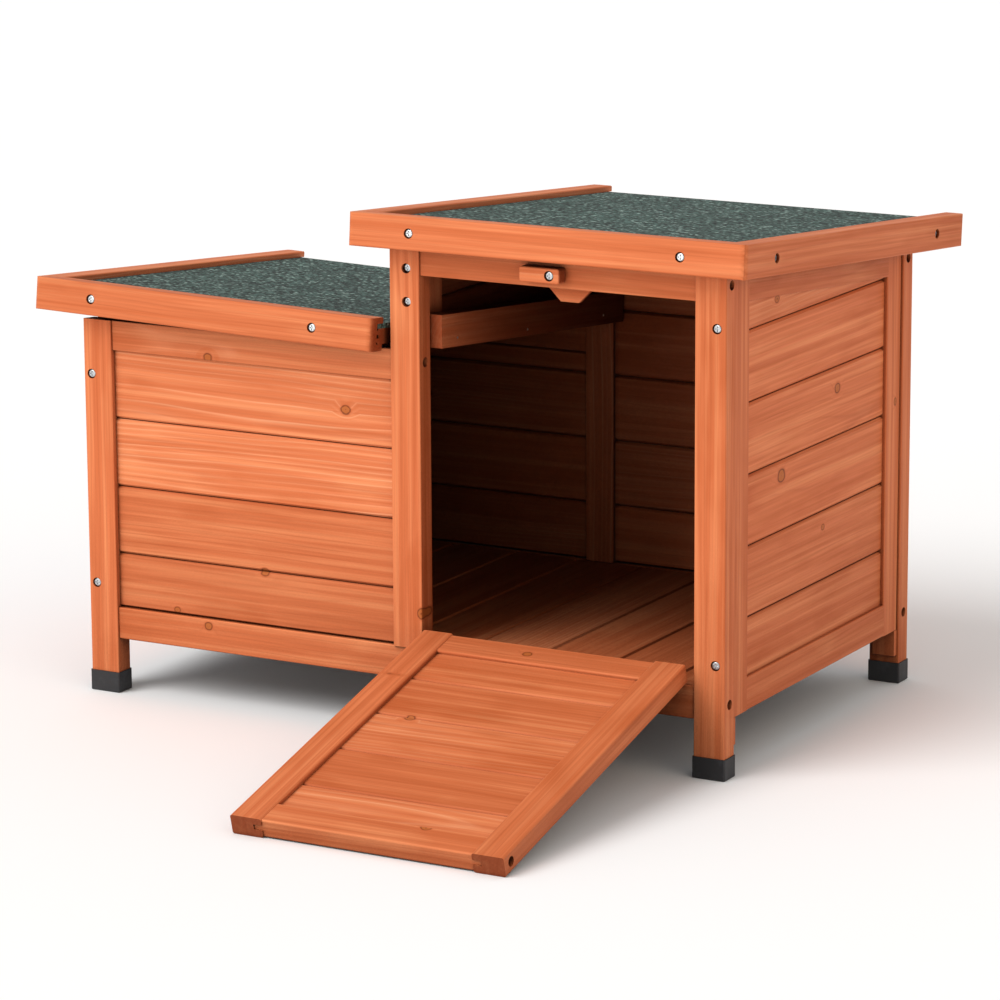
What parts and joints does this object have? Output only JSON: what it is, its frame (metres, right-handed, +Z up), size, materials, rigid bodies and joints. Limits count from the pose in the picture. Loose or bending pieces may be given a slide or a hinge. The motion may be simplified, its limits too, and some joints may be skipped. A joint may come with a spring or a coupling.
{
  "type": "rabbit hutch",
  "caption": "Two-room wooden rabbit hutch with stepped, sloping felt roofs on hinges, a framed drop-down ramp door, a turn button and capped legs.",
  "frame": {"origin": "on the ground, under the middle of the whole hutch as it stands with its ramp down", "axes": "+Z up, +X to the right of someone who faces the ramp door, +Y from the ramp door to the back wall"},
  "size_m": [0.7266, 0.7794, 0.4778],
  "materials": {
    "stained_fir": "satin orange-brown stain over fir",
    "black_plastic": "moulded, matt",
    "zinc_screws": "bright zinc plate",
    "zinc_hinges": "zinc plate",
    "green_felt": "mineral-faced roofing felt"
  },
  "bodies": {
    "carcass": {"back_bottom_rail": "stained_fir", "floor_bearers": "stained_fir", "floor_boards": "stained_fir", "foot_caps": "black_plastic", "frame_screws": "zinc_screws", "front_bottom_rail": "stained_fir", "head_rail": "stained_fir", "hinge_pins": "zinc_hinges", "left_side_back_stile": "stained_fir", "left_side_boards": "stained_fir", "left_side_bottom_rail": "stained_fir", "left_side_front_stile": "stained_fir", "left_side_top_rail": "stained_fir", "low_back_boards": "stained_fir", "low_back_top_rail": "stained_fir", "low_front_boards": "stained_fir", "low_front_top_rail": "stained_fir", "low_roof_hinge_fixed_leaves": "zinc_hinges", "partition_back_stile": "stained_fir", "partition_boards": "stained_fir", "partition_front_stile": "stained_fir", "partition_strip": "stained_fir", "post_back_left": "stained_fir", "post_back_middle": "stained_fir", "post_back_right": "stained_fir", "post_front_left": "stained_fir", "post_front_middle": "stained_fir", "post_front_right": "stained_fir", "ramp_hinge_fixed_leaves": "zinc_hinges", "rest_blocks": "stained_fir", "right_side_back_stile": "stained_fir", "right_side_boards": "stained_fir", "right_side_bottom_rail": "stained_fir", "right_side_front_stile": "stained_fir", "right_side_top_rail": "stained_fir", "stop_tab": "stained_fir", "tall_back_boards": "stained_fir", "tall_back_top_rail": "stained_fir", "tall_roof_hinge_fixed_leaves": "zinc_hinges"},
    "ramp": {"ramp_boards": "stained_fir", "ramp_free_rail": "stained_fir", "ramp_hinge_moving_leaves": "zinc_hinges", "ramp_hinge_rail": "stained_fir", "ramp_left_stile": "stained_fir", "ramp_right_stile": "stained_fir", "ramp_screws": "zinc_screws"},
    "button": {"turn_button": "stained_fir"},
    "tall_roof": {"tall_roof_deck": "stained_fir", "tall_roof_felt": "green_felt", "tall_roof_front_trim": "stained_fir", "tall_roof_hinge_moving_leaves": "zinc_hinges", "tall_roof_left_trim": "stained_fir", "tall_roof_right_trim": "stained_fir", "tall_roof_screws": "zinc_screws"},
    "low_roof": {"low_roof_deck": "stained_fir", "low_roof_felt": "green_felt", "low_roof_front_trim": "stained_fir", "low_roof_hinge_moving_leaves": "zinc_hinges", "low_roof_left_trim": "stained_fir", "low_roof_screws": "zinc_screws"}
  },
  "joints": [
    {"name": "ramp_hinge", "type": "hinge", "parent": "carcass", "child": "ramp", "pos_m": [0, -0.05683, 0.0825], "axis": [-1, 0, 0], "range_deg": [0, 104.58]},
    {"name": "turn_button_pivot", "type": "hinge", "parent": "carcass", "child": "button", "pos_m": [0.16976, -0.05643, 0.4345], "axis": [0, -1, 0], "range_deg": [0, 90]},
    {"name": "tall_roof_hinge", "type": "hinge", "parent": "carcass", "child": "tall_roof", "pos_m": [0, 0.33397, 0.41533], "axis": [-1, 0, 0], "range_deg": [0, 60]},
    {"name": "low_roof_hinge", "type": "hinge", "parent": "carcass", "child": "low_roof", "pos_m": [0.00247, -0.05643, 0.3795], "axis": [0, 0.9954, -0.0958], "range_deg": [0, 35]}
  ]
}
